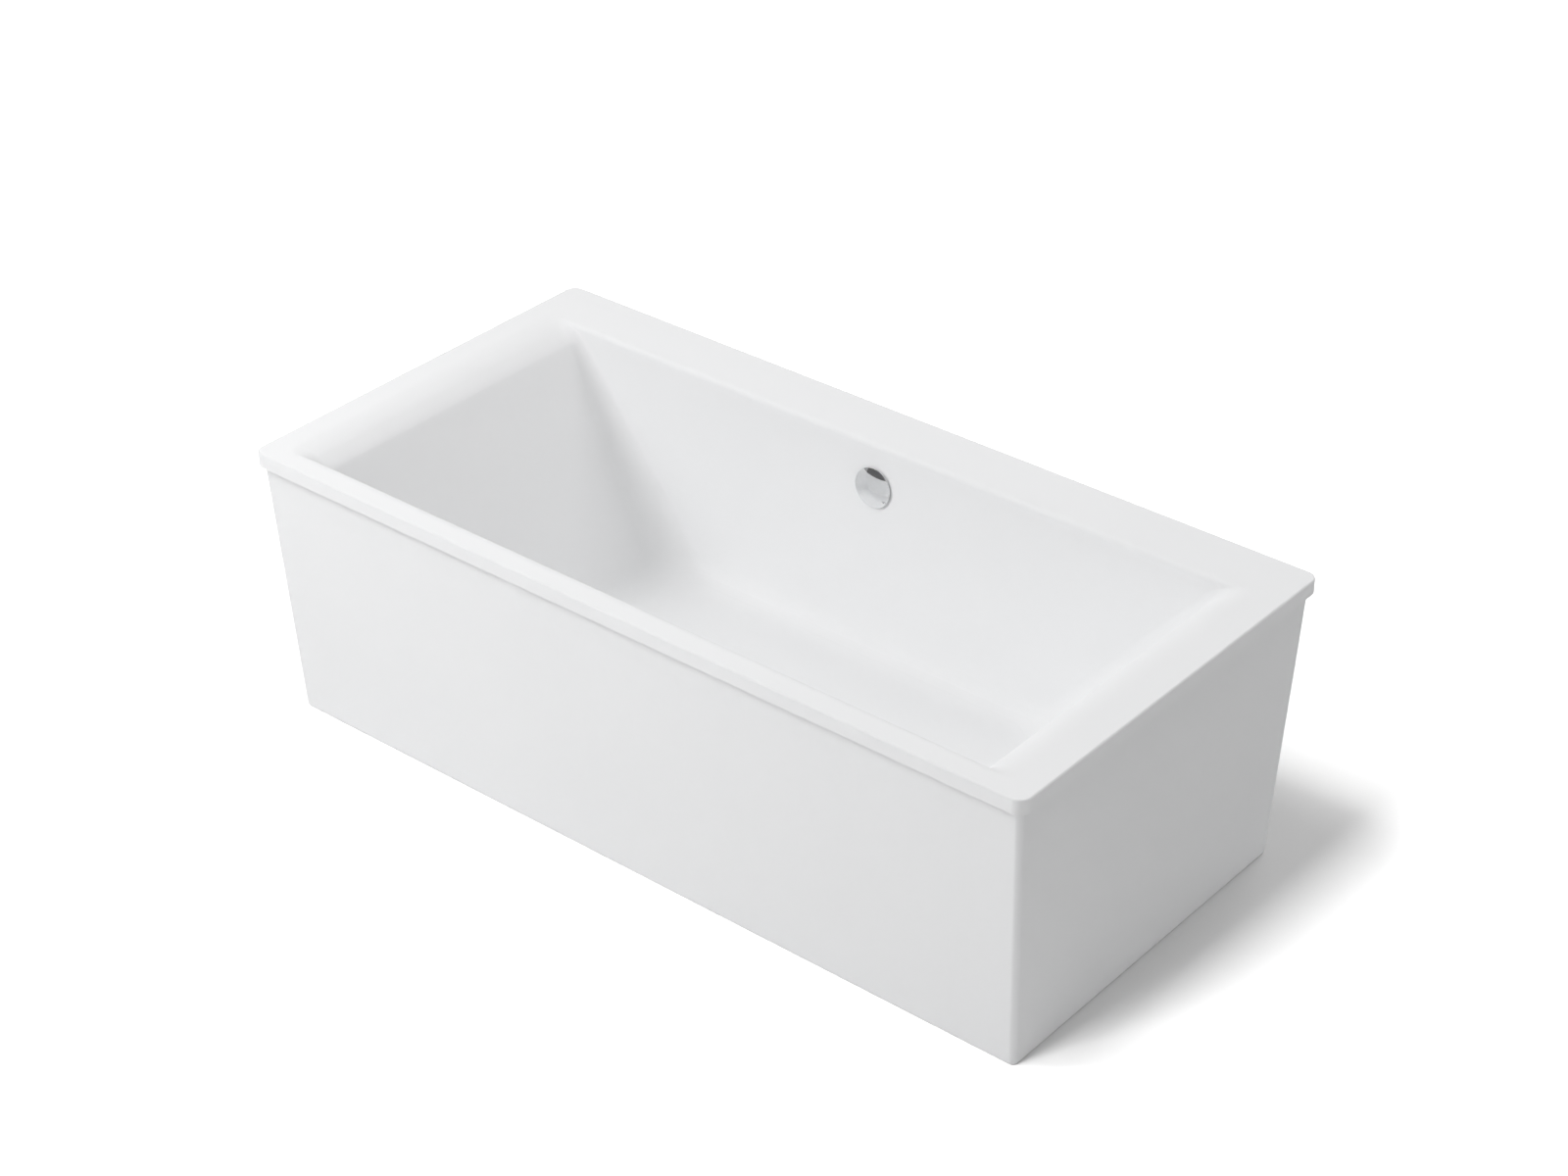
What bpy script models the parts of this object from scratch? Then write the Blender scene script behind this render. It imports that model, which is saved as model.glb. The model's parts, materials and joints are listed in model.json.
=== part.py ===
"""Freestanding bathtub: acrylic shell and one-piece drafted skirt over a steel carrier,
with a rotary-knob overflow and pop-up waste. Metres, +Z up, +X along the bath."""
import math

import bmesh
import bpy
from mathutils import Matrix, Vector

# Outside of the bath
LENGTH = 1.800
WIDTH = 0.900
HEIGHT = 0.592
RIM_DROP = 0.030          # height of the rim's vertical face
RIM_ROUND = 0.004         # rounding of the rim's upper edge
RIM_CORNER = 0.025        # plan radius of the rim's corners
SHELL = 0.006             # laminated acrylic thickness
MERGE = 0.000001

# Basin: the deck is narrow along the front, wide along the back
END_EDGE = 0.845          # half length of the opening at deck level
BACK_EDGE = 0.329
FRONT_EDGE = -0.407
BASIN_Y = (BACK_EDGE + FRONT_EDGE) / 2
END_ROLL, END_SLOPE, END_FILLET = 0.100, 36.5, 0.100
SIDE_ROLL, SIDE_SLOPE, SIDE_FILLET = 0.012, 4.0, 0.060
CORNER_TOP, CORNER_FLOOR = 0.022, 0.080
FLOOR_Z = 0.150
DRAIN_Z = 0.146           # the floor falls 4 mm to the drain
RECESS, RECESS_Z = 0.0370, 0.143
DRAIN_HOLE = 0.0262
PAD_Z = 0.139             # flat underside the base board is laminated to
PAD_INSET = 0.015

# Skirt
SKIRT_TOP_INSET = 0.012
SKIRT_END_INSET = 0.028
SKIRT_SIDE_INSET = 0.050
SKIRT_WALL = 0.004
SKIRT_CORNER = 0.012
SKIRT_RETURN = 0.028      # width of the inward return on the floor
GAP = 0.0003              # clearance between pieces that touch
DECK_UNDER = HEIGHT - SHELL - GAP
BATTEN, BATTEN_DEPTH = 0.020, 0.024
BATTEN_X, BATTEN_Y = 0.8734, 0.4234

# Carrier
BOARD = 0.016
BAR = 0.030
BAR_WALL = 0.002
RAIL_Y = 0.150
CROSS_X = 0.300
CROSS_HALF = 0.345
FOOT_Y = 0.315
BOARD_TOP = PAD_Z - GAP
RAIL_TOP = BOARD_TOP - BOARD - GAP
CROSS_TOP = RAIL_TOP - BAR - GAP
NUT, NUT_FLATS, THREAD = 0.010, 0.019, 0.006
PLATE = 0.003

# Overflow and waste
OVERFLOW_Z = 0.502
KNOB_RADIUS = 0.0415
KNOB_FRONT, KNOB_BACK, KNOB_PLATE = 0.0135, 0.0026, 0.0025
KNOB_DOME = 0.100  # radius of the knob's crowned face
HOUSING_BACK = -0.0460
NOZZLE_Z = -0.0290
HOSE = 0.0122
INLET_Z = 0.0715
OUTLET_Z = 0.0315
NIPPLE_X, NIPPLE_Z = 0.0215, -0.0330
LEVER_X, LEVER_Z, LEVER_ARM, LEVER_TILT = 0.019, 0.100, 0.019, 15.25

# Looks: base colour, roughness, metallic
LOOKS = {
    "white_acrylic": ((0.86, 0.87, 0.88), 0.12, 0.0),
    "skirt_acrylic": ((0.85, 0.86, 0.87), 0.18, 0.0),
    "chrome": ((0.82, 0.83, 0.84), 0.05, 1.0),
    "zinc_steel": ((0.58, 0.60, 0.62), 0.35, 1.0),
    "pine": ((0.62, 0.44, 0.25), 0.65, 0.0),
    "chipboard": ((0.52, 0.40, 0.26), 0.80, 0.0),
    "black_rubber": ((0.03, 0.03, 0.03), 0.75, 0.0),
    "grey_plastic": ((0.45, 0.46, 0.47), 0.45, 0.0),
    "white_plastic": ((0.80, 0.80, 0.78), 0.40, 0.0),
    "black_nylon": ((0.04, 0.04, 0.04), 0.50, 0.0),
    "brass": ((0.72, 0.55, 0.26), 0.30, 1.0),
}


def look(name):
    """Principled material from the table of looks, made once."""
    if name in bpy.data.materials:
        return bpy.data.materials[name]
    colour, roughness, metallic = LOOKS[name]
    made = bpy.data.materials.new(name)
    made.use_nodes = True
    shader = made.node_tree.nodes["Principled BSDF"]
    shader.inputs["Base Color"].default_value = (*colour, 1)
    shader.inputs["Roughness"].default_value = roughness
    shader.inputs["Metallic"].default_value = metallic
    return made


def anchor(name, location, turn_x=0.0):
    """Empty that carries the pieces of one set, turned about X by degrees."""
    empty = bpy.data.objects.new(name, None)
    empty.location = location
    empty.rotation_euler.x = math.radians(turn_x)
    bpy.context.scene.collection.objects.link(empty)
    return empty


def add_object(name, data, material, parent, location=(0, 0, 0), turn=(0, 0, 0)):
    """Link an object with its material, under its parent, at a place and a turn in degrees."""
    obj = bpy.data.objects.new(name, data)
    obj.parent = parent
    obj.location = location
    obj.rotation_euler = [math.radians(angle) for angle in turn]
    data.materials.append(look(material))
    bpy.context.scene.collection.objects.link(obj)
    return obj


def solid(work, name, material, parent, location=(0, 0, 0), turn=(0, 0, 0)):
    """Turn a bmesh into a closed, outward-facing, smooth-shaded object."""
    bmesh.ops.remove_doubles(work, verts=work.verts, dist=MERGE)
    bmesh.ops.recalc_face_normals(work, faces=work.faces)
    mesh = bpy.data.meshes.new(name)
    work.to_mesh(mesh)
    work.free()
    mesh.shade_smooth()
    mesh.set_sharp_from_angle(angle=math.radians(35))
    return add_object(name, mesh, material, parent, location, turn)


def loft(name, rings, closed, material, parent=None, location=(0, 0, 0)):
    """Skin equal rings; closed joins the last ring to the first, else both ends are capped."""
    work = bmesh.new()
    made = [[work.verts.new(point) for point in ring] for ring in rings]
    pairs = list(zip(made, made[1:]))
    if closed:
        pairs.append((made[-1], made[0]))
    else:
        work.faces.new(made[0])
        work.faces.new(made[-1])
    for low, high in pairs:
        for j in range(len(low)):
            k = (j + 1) % len(low)
            work.faces.new((low[j], low[k], high[k], high[j]))
    return solid(work, name, material, parent, location)


def box(name, low, high, material, parent=None, turn=(0, 0, 0)):
    """Block between two corners, with its own origin at its centre unless it is turned."""
    low, high = Vector(low), Vector(high)
    centre = (low + high) / 2
    work = bmesh.new()
    bmesh.ops.create_cube(work, size=1, matrix=Matrix.Diagonal((*(high - low), 1)))
    if any(turn):
        bmesh.ops.translate(work, verts=work.verts, vec=centre)
        return solid(work, name, material, parent, turn=turn)
    return solid(work, name, material, parent, centre)


def revolve(name, profile, sides, material, parent, location=(0, 0, 0), turn=(0, 0, 0)):
    """Spin a (radius, height) outline round the local Z axis; closed unless it meets the axis."""
    work = bmesh.new()
    start = math.pi / sides
    points = [work.verts.new((r * math.cos(start), r * math.sin(start), z)) for r, z in profile]
    edges = [work.edges.new(pair) for pair in zip(points, points[1:])]
    if profile[0][0] > 0:
        edges.append(work.edges.new((points[-1], points[0])))
    bmesh.ops.spin(work, geom=points + edges, cent=(0, 0, 0), axis=(0, 0, 1), angle=2 * math.pi,
                   steps=sides, use_merge=True)
    return solid(work, name, material, parent, location, turn)


def rod_profile(radius, low, high, chamfer=0.0):
    """Outline of a plain round bar, with optional end chamfers."""
    if chamfer == 0:
        return [(0, low), (radius, low), (radius, high), (0, high)]
    small = radius - chamfer
    return [(0, low), (small, low), (radius, low + chamfer), (radius, high - chamfer),
            (small, high), (0, high)]


def ring_profile(inner, outer, low, high):
    """Outline of a plain round ring."""
    return [(inner, low), (outer, low), (outer, high), (inner, high)]


def combine(target, tools, operation):
    """Apply Boolean operations with closed tool solids and delete the tools."""
    for tool in tools:
        step = target.modifiers.new(operation, "BOOLEAN")
        step.operation = operation
        step.solver = "EXACT"
        step.object = tool
    bpy.context.view_layer.update()
    graph = bpy.context.evaluated_depsgraph_get()
    result = bpy.data.meshes.new_from_object(target.evaluated_get(graph))
    target.modifiers.clear()
    target.data = result
    for tool in tools:
        bpy.data.objects.remove(tool)
    return target


def tube(name, route, radius, resolution, material):
    """Solid round line along hand-set points, as a bevelled curve with filled ends."""
    path = smooth_path([Vector(point) for point in route], 3)
    curve = bpy.data.curves.new(name, "CURVE")
    curve.dimensions = "3D"
    curve.bevel_depth = radius
    curve.bevel_resolution = resolution
    curve.render_resolution_u = 0
    curve.use_fill_caps = True
    line = curve.splines.new("POLY")
    line.points.add(len(path) - 1)
    for point, place in zip(line.points, path):
        point.co = (*place, 1)
    return add_object(name, curve, material, None)


def smooth_path(points, pieces):
    """Catmull-Rom line through the points."""
    path = []
    padded = [points[0]] + points + [points[-1]]
    for i in range(len(points) - 1):
        a, b, c, d = padded[i:i + 4]
        for j in range(pieces):
            t = j / pieces
            path.append(0.5 * ((2 * b) + (c - a) * t + (2 * a - 5 * b + 4 * c - d) * t * t
                               + (3 * b - a - 3 * c + d) * t ** 3))
    path.append(points[-1])
    return path


def rounded_ring(half_x, low_y, high_y, radius, z, steps=6):
    """Rounded rectangle of points at one height."""
    points = []
    corners = ((half_x, high_y, 0), (-half_x, high_y, 90),
               (-half_x, low_y, 180), (half_x, low_y, 270))
    for x, y, start in corners:
        centre_x = x - math.copysign(radius, x)
        centre_y = y - radius if start < 180 else y + radius
        for i in range(steps + 1):
            angle = math.radians(start + 90 * i / steps)
            x_out, y_out = radius * math.cos(angle), radius * math.sin(angle)
            points.append((centre_x + x_out, centre_y + y_out, z))
    return points


def circle_ring(radius, z, count):
    """Circle round the drain with the same point count and order as a rounded rectangle."""
    per_corner = count // 4
    points = []
    for i in range(count):
        corner, j = divmod(i, per_corner)
        angle = math.radians(90 * corner + 90 * (j + 0.5) / per_corner)
        points.append((radius * math.cos(angle), BASIN_Y + radius * math.sin(angle), z))
    return points


def inward(depth, total, roll, slope, fillet):
    """How far a wall has moved in from the deck edge at a depth below the deck."""
    turn = math.radians(90 - slope)
    first = roll * (1 - math.cos(turn))
    last = total - fillet * (1 - math.cos(turn))
    lean = math.tan(math.radians(slope))
    if depth <= first:
        return math.sqrt(depth * (2 * roll - depth))
    if depth <= last:
        return roll * math.sin(turn) + (depth - first) * lean
    height = max(total - depth, 0)
    wall = roll * math.sin(turn) + (last - first) * lean
    return wall + fillet * math.sin(turn) - math.sqrt(height * (2 * fillet - height))


def basin_depths(total, offset):
    """Depths at which the rolls and fillets of both wall kinds need a ring."""
    depths = {0.0, total, 0.30 * total, 0.60 * total}
    walls = ((END_ROLL, END_SLOPE, END_FILLET), (SIDE_ROLL, SIDE_SLOPE, SIDE_FILLET))
    for roll, slope, fillet in walls:
        for i in range(1, 5):
            turn = math.radians(90 - slope) * i / 4
            depths.add((roll - offset) * (1 - math.cos(turn)))
            depths.add(total - (fillet + offset) * (1 - math.cos(turn)))
    kept = []
    for depth in sorted(depths):
        if not kept or depth - kept[-1] > 0.0006:
            kept.append(depth)
    kept[-1] = total
    return kept


def basin_rings(offset):
    """Rings of the basin skin from the deck edge to the floor; offset is the shell thickness."""
    total = HEIGHT - FLOOR_Z
    rings = []
    for depth in basin_depths(total, offset):
        end = inward(depth, total, END_ROLL - offset, END_SLOPE, END_FILLET + offset)
        side = inward(depth, total, SIDE_ROLL - offset, SIDE_SLOPE, SIDE_FILLET + offset)
        radius = CORNER_TOP + (CORNER_FLOOR - CORNER_TOP) * depth / total + offset
        z = HEIGHT - offset - depth
        rings.append(rounded_ring(END_EDGE - end, FRONT_EDGE + side, BACK_EDGE - side, radius, z))
    return rings


def rim_ring(inset, z):
    """Ring parallel to the outer rim."""
    half_y = WIDTH / 2 - inset
    return rounded_ring(LENGTH / 2 - inset, -half_y, half_y, RIM_CORNER - inset, z)


def overflow_origin():
    """Point on the back wall's inner face that the overflow set is centred on."""
    moved = inward(HEIGHT - OVERFLOW_Z, HEIGHT - FLOOR_Z, SIDE_ROLL, SIDE_SLOPE, SIDE_FILLET)
    return Vector((0, BACK_EDGE - moved, OVERFLOW_Z))


def build_shell(overflow):
    """Rim, deck, basin and drain recess in one laminated skin, with the overflow hole."""
    rings = [rim_ring(0, HEIGHT - RIM_DROP)]
    for i in range(4):
        angle = math.radians(30 * i)
        inset = RIM_ROUND * (1 - math.cos(angle))
        rings.append(rim_ring(inset, HEIGHT - RIM_ROUND * (1 - math.sin(angle))))
    rings += basin_rings(0)
    count = len(rings[0])
    drain = ((RECESS, DRAIN_Z), (RECESS, RECESS_Z), (DRAIN_HOLE, RECESS_Z), (DRAIN_HOLE, PAD_Z))
    rings += [circle_ring(radius, z, count) for radius, z in drain]
    under = basin_rings(SHELL)
    half_x = max(point[0] for point in under[-1]) - PAD_INSET
    low_y = min(point[1] for point in under[-1]) + PAD_INSET
    high_y = max(point[1] for point in under[-1]) - PAD_INSET
    rings.append(rounded_ring(half_x, low_y, high_y, CORNER_FLOOR - 0.010, PAD_Z))
    rings += reversed(under)
    rings.append(rim_ring(SHELL, HEIGHT - SHELL))
    rings.append(rim_ring(SHELL, HEIGHT - RIM_DROP))
    shell = loft("tub_shell", rings, True, "white_acrylic")
    hole = revolve("hole", rod_profile(0.0265, -0.03, 0.03), 32, "white_acrylic", overflow)
    combine(shell, [hole], "DIFFERENCE")


def skirt_ring(extra, z, radius):
    """Ring of the drafted skirt at a height, moved in by an extra distance."""
    top = HEIGHT - RIM_DROP
    drop = (top - z) / top
    end = SKIRT_TOP_INSET + (SKIRT_END_INSET - SKIRT_TOP_INSET) * drop + extra
    side = SKIRT_TOP_INSET + (SKIRT_SIDE_INSET - SKIRT_TOP_INSET) * drop + extra
    half_y = WIDTH / 2 - side
    return rounded_ring(LENGTH / 2 - end, -half_y, half_y, radius, z)


def build_skirt():
    """One-piece apron with an inward return on the floor."""
    inner = SKIRT_CORNER - SKIRT_WALL
    rings = [
        skirt_ring(0, DECK_UNDER, SKIRT_CORNER),
        skirt_ring(0, 0, SKIRT_CORNER),
        skirt_ring(SKIRT_RETURN, 0, 0.006),
        skirt_ring(SKIRT_RETURN, SKIRT_WALL, 0.006),
        skirt_ring(SKIRT_WALL, SKIRT_WALL, inner),
        skirt_ring(SKIRT_WALL, DECK_UNDER, inner),
    ]
    loft("skirt", rings, True, "skirt_acrylic")


def build_battens():
    """Timber frame under the deck that the skirt is fixed to."""
    low = DECK_UNDER - BATTEN_DEPTH
    for name, side in (("batten_front", -1), ("batten_back", 1)):
        y = side * BATTEN_Y
        box(name, (-0.863, y - BATTEN / 2, low), (0.863, y + BATTEN / 2, DECK_UNDER), "pine")
    for name, side in (("batten_left", -1), ("batten_right", 1)):
        x = side * BATTEN_X
        box(name, (x - BATTEN / 2, -0.413, low), (x + BATTEN / 2, 0.413, DECK_UNDER), "pine")


def square_tube(name, centre, half_length, turn_z):
    """Square steel tube along X, open at both ends, turned about Z in degrees."""
    rings = []
    for width, end in ((BAR, -1), (BAR, 1), (BAR - 2 * BAR_WALL, 1), (BAR - 2 * BAR_WALL, -1)):
        half = width / 2
        corners = ((-half, -half), (half, -half), (half, half), (-half, half))
        rings.append([(end * half_length, y, z) for y, z in corners])
    bar = loft(name, rings, True, "zinc_steel", None, centre)
    bar.rotation_euler.z = math.radians(turn_z)
    return bar


def build_carrier():
    """Base board, rails under it and cross bars that hold the feet."""
    low = (-0.40, BASIN_Y - 0.22, BOARD_TOP - BOARD)
    high = (0.40, BASIN_Y + 0.22, BOARD_TOP)
    board = box("base_board", low, high, "chipboard")
    opening = revolve("opening", rod_profile(0.055, -0.03, 0.03), 32, "chipboard", None,
                      (0, BASIN_Y, BOARD_TOP))
    combine(board, [opening], "DIFFERENCE")
    for name, side in (("rail_front", -1), ("rail_back", 1)):
        square_tube(name, (0, BASIN_Y + side * RAIL_Y, RAIL_TOP - BAR / 2), 0.42, 0)
    for name, side in (("cross_bar_left", -1), ("cross_bar_right", 1)):
        x = side * CROSS_X
        bar = square_tube(name, (x, 0, CROSS_TOP - BAR / 2), CROSS_HALF, 90)
        through = rod_profile(0.0065, -0.05, 0.05)
        holes = [revolve("hole", through, 12, "zinc_steel", None, (x, y, CROSS_TOP))
                 for y in (-FOOT_Y, FOOT_Y)]
        combine(bar, holes, "DIFFERENCE")


def hex_nut(name, low, parent):
    """Hexagon nut with a round bore, standing on a height."""
    rings = []
    for z, hexagon in ((low, True), (low + NUT, True), (low + NUT, False), (low, False)):
        ring = []
        for i in range(12):
            degrees = 30 * i + 15
            radius = THREAD + 0.0001
            if hexagon:
                radius = NUT_FLATS / 2 / math.cos(math.radians(degrees % 60 - 30))
            angle = math.radians(degrees)
            ring.append((radius * math.cos(angle), radius * math.sin(angle), z))
        rings.append(ring)
    loft(name, rings, True, "zinc_steel", parent)


def build_foot(name, x, y):
    """Threaded rod on a plastic pad, locked to its cross bar by two nuts."""
    spot = anchor(name, (x, y, 0))
    pad = [(0, 0), (0.026, 0), (0.026, 0.004), (0.022, 0.009), (0.011, 0.009),
           (0.010, 0.020), (0.0063, 0.020), (0.0063, 0.008), (0, 0.008)]
    revolve(name + "_pad", pad, 24, "black_nylon", spot)
    revolve(name + "_rod", rod_profile(THREAD, 0.0083, 0.118, 0.001), 12, "zinc_steel", spot)
    hex_nut(name + "_lock_nut", CROSS_TOP - BAR - GAP - NUT, spot)
    hex_nut(name + "_top_nut", CROSS_TOP + GAP, spot)


def build_bracket(name, x, side):
    """Steel angle from the skirt's floor return up the end of a cross bar, with its screw."""
    spot = anchor("bracket_spot_" + name, (x, side * CROSS_HALF, SKIRT_WALL + GAP))
    near, far = GAP, 0.047
    upright = CROSS_TOP - SKIRT_WALL - GAP
    outline = [(near, 0), (near, upright), (near + PLATE, upright), (near + PLATE, PLATE),
               (far, PLATE), (far, 0)]
    rings = [[(edge, side * y, z) for y, z in outline] for edge in (-0.0125, 0.0125)]
    bracket = loft("bracket_" + name, rings, False, "zinc_steel", spot)
    place = (0, side * 0.038, 0)
    drill = revolve("drill", rod_profile(0.0025, -0.02, 0.02), 12, "zinc_steel", spot, place)
    combine(bracket, [drill], "DIFFERENCE")
    top = PLATE + GAP
    screw = [(0, 0.0005), (0.0022, 0.0005), (0.0022, top), (0.0045, top),
             (0.0038, top + 0.0025), (0, top + 0.0025)]
    revolve("bracket_screw_" + name, screw, 16, "zinc_steel", spot, place)


def spokes(turns, reach, low, high, material, parent):
    """Flat bars through the centre, one for each turn about the local Z axis."""
    bars = []
    for turn in turns:
        bars.append(box("spoke", (-reach, -0.0015, low), (reach, 0.0015, high), material, parent,
                        (0, 0, turn)))
    return bars


def crown(radius, below=0.0):
    """Height of the knob's crowned face at a radius, or of the surface a plate's thickness below."""
    return KNOB_FRONT - KNOB_DOME + math.sqrt((KNOB_DOME - below) ** 2 - radius ** 2)


def build_overflow(spot):
    """Knob, bush, gaskets and housing; local Z points into the basin, local Y up the wall."""
    cavity = [(r, crown(r, KNOB_PLATE)) for r in (0.0060, 0.0150, 0.0240, 0.0320, 0.0380)]
    inside = cavity[0][1]
    face = [(r, crown(r)) for r in (KNOB_RADIUS, 0.0360, 0.0290, 0.0200, 0.0100, 0)]
    knob = [(0, inside)] + cavity + [(0.0380, KNOB_BACK), (KNOB_RADIUS, KNOB_BACK)] + face
    revolve("knob_disc", knob, 48, "chrome", spot)
    revolve("knob_spindle", rod_profile(0.0040, -0.0360, inside - GAP), 24, "brass", spot)
    revolve("cable_drum", ring_profile(0.0041, 0.0120, -0.0350, -0.0300), 24, "grey_plastic", spot)
    front = ring_profile(0.0268, 0.0330, GAP, 0.0015)
    revolve("overflow_front_gasket", front, 32, "black_rubber", spot)
    sleeve = [(0.0205, -0.0200), (0.0260, -0.0200), (0.0260, 0.0018), (0.0335, 0.0018),
              (0.0335, 0.0040), (0.0205, 0.0040)]
    bush = revolve("overflow_bush", sleeve, 32, "grey_plastic", spot)
    hub = revolve("hub", rod_profile(0.0075, -0.0060, 0.0020), 24, "grey_plastic", spot)
    bars = spokes((0, 60, 120), 0.0225, -0.0050, 0.0010, "grey_plastic", spot)
    combine(bush, [hub] + bars, "UNION")
    bore = revolve("bore", rod_profile(0.0041, -0.03, 0.03), 24, "grey_plastic", spot)
    combine(bush, [bore], "DIFFERENCE")
    rear = -SHELL - 0.0026
    back = ring_profile(0.0275, 0.0350, rear, -SHELL - GAP)
    revolve("overflow_rear_gasket", back, 32, "black_rubber", spot)
    build_housing(spot, rear - GAP)


def build_housing(spot, face):
    """Chamber behind the wall with a hose nozzle pointing down and a cable nipple."""
    outline = [(0, HOUSING_BACK), (0.0295, HOUSING_BACK), (0.0295, face - 0.003),
               (0.0355, face - 0.003), (0.0355, face), (0, face)]
    housing = revolve("overflow_housing", outline, 32, "white_plastic", spot)
    down = (90, 0, 0)
    nozzle = revolve("nozzle", rod_profile(0.0155, 0.010, 0.058), 24, "white_plastic", spot,
                     (0, 0, NOZZLE_Z), down)
    nipple = revolve("nipple", rod_profile(0.0050, 0.015, 0.040), 16, "white_plastic", spot,
                     (NIPPLE_X, 0, NIPPLE_Z), down)
    combine(housing, [nozzle, nipple], "UNION")
    chamber = revolve("chamber", rod_profile(0.0266, HOUSING_BACK + 0.0025, 0.01), 32,
                      "white_plastic", spot)
    channel = revolve("channel", rod_profile(0.0126, 0.005, 0.07), 24, "white_plastic", spot,
                      (0, 0, NOZZLE_Z), down)
    combine(housing, [chamber, channel], "DIFFERENCE")


def build_lines(spot):
    """Overflow hose and Bowden cable from the housing down to the waste body."""
    bpy.context.view_layer.update()
    place = spot.matrix_world
    hose = [place @ Vector((0, y, NOZZLE_Z)) for y in (-0.046, -0.062, -0.078)]
    hose += [(0, 0.345, 0.36), (0, 0.340, 0.22), (0, 0.315, 0.135), (0, 0.255, 0.085),
             (0, 0.180, INLET_Z), (0, 0.080, INLET_Z), (0, BASIN_Y + 0.048, INLET_Z)]
    tube("overflow_hose", hose, HOSE, 4, "grey_plastic")
    cable = [place @ Vector((NIPPLE_X, y, NIPPLE_Z)) for y in (-0.0405, -0.053, -0.066)]
    cable += [(0.023, 0.374, 0.42), (0.024, 0.374, 0.34), (0.027, 0.372, 0.26),
              (0.030, 0.364, 0.18), (0.034, 0.335, 0.115), (0.036, 0.290, 0.086),
              (0.037, 0.235, 0.078), (0.037, 0.180, 0.077), (0.037, 0.125, 0.079),
              (0.037, 0.070, 0.084), (0.037, 0.025, 0.091), (0.037, 0.000, 0.0945),
              (0.037, BASIN_Y + 0.0153, 0.095)]
    tube("bowden_cable", cable, 0.0028, 2, "black_rubber")


def build_waste(spot):
    """Flange, gaskets and waste body with its overflow inlet and lever boss."""
    flange = [(0.0212, 0.1275), (0.0240, 0.1275), (0.0240, 0.1443), (0.0355, 0.1443),
              (0.0355, 0.1464), (0.0345, 0.1474), (0.0310, 0.1474), (0.0225, 0.1452),
              (0.0212, 0.1440)]
    ring = revolve("waste_flange", flange, 32, "chrome", spot)
    hub = revolve("hub", rod_profile(0.0060, 0.1290, 0.1340), 24, "chrome", spot)
    bars = spokes((45, 135), 0.0226, 0.1295, 0.1330, "chrome", spot)
    combine(ring, [hub] + bars, "UNION")
    bore = revolve("bore", rod_profile(0.0031, 0.12, 0.15), 24, "chrome", spot)
    combine(ring, [bore], "DIFFERENCE")
    upper = ring_profile(0.0266, 0.0352, RECESS_Z + GAP, 0.1440)
    revolve("waste_upper_gasket", upper, 32, "black_rubber", spot)
    lower = ring_profile(0.0290, 0.0400, PAD_Z - 0.003, PAD_Z - GAP)
    revolve("waste_lower_gasket", lower, 32, "black_rubber", spot)
    top = PAD_Z - 0.003 - GAP
    outline = [(0, 0.028), (0.0285, 0.028), (0.0285, top - 0.003), (0.0405, top - 0.003),
               (0.0405, top), (0, top)]
    body = revolve("waste_body", outline, 32, "white_plastic", spot)
    level = (0, 0, INLET_Z)
    back = (-90, 0, 0)
    inlet = revolve("inlet", rod_profile(0.0155, 0.015, 0.062), 24, "white_plastic", spot, level,
                    back)
    boss = box("boss", (0.022, -0.009, 0.086), (0.044, 0.015, 0.110), "white_plastic", spot)
    combine(body, [inlet, boss], "UNION")
    bore = revolve("bore", rod_profile(0.0246, 0.02, 0.15), 32, "white_plastic", spot)
    channel = revolve("channel", rod_profile(0.0126, 0.010, 0.07), 24, "white_plastic", spot, level,
                      back)
    combine(body, [bore, channel], "DIFFERENCE")


def build_plug(spot):
    """Chrome cap with a seal on its boss, standing on a stem above the lift lever."""
    cap = [(0, 0.1425), (0.0115, 0.1425), (0.0115, 0.1480), (0.0320, 0.1480), (0.0325, 0.1486),
           (0.0322, 0.1500), (0.0300, 0.1512), (0.0200, 0.1522), (0, 0.1527)]
    revolve("plug_cap", cap, 48, "chrome", spot)
    seal = [(0.0118, 0.1450), (0.0208, 0.1450), (0.0225, 0.1456), (0.0290, 0.1473),
            (0.0290, 0.1477), (0.0118, 0.1477)]
    revolve("plug_seal", seal, 32, "black_rubber", spot)
    drop = LEVER_ARM * math.sin(math.radians(LEVER_TILT))
    stem = rod_profile(0.0030, LEVER_Z - drop + 0.0038, 0.1422, 0.0012)
    revolve("plug_stem", stem, 16, "brass", spot)


def build_lever(spot):
    """Lever that pivots on the body's side and lifts the stem with its rounded nose."""
    tilt = math.radians(LEVER_TILT)
    tip = Vector((-math.cos(tilt), -math.sin(tilt))) * LEVER_ARM
    along = -tip.normalized()
    side = Vector((-along.y, along.x))
    outline = []
    for centre, radius, start in ((Vector((0, 0)), 0.0028, -75), (tip, 0.0030, 105)):
        for i in range(7):
            angle = math.radians(start + 25 * i)
            outline.append(centre + radius * (along * math.cos(angle) + side * math.sin(angle)))
    rings = [[(x, y, z) for x, z in outline] for y in (-0.004, 0.004)]
    loft("lift_lever", rings, False, "grey_plastic", spot, (LEVER_X, 0, LEVER_Z))


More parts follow.
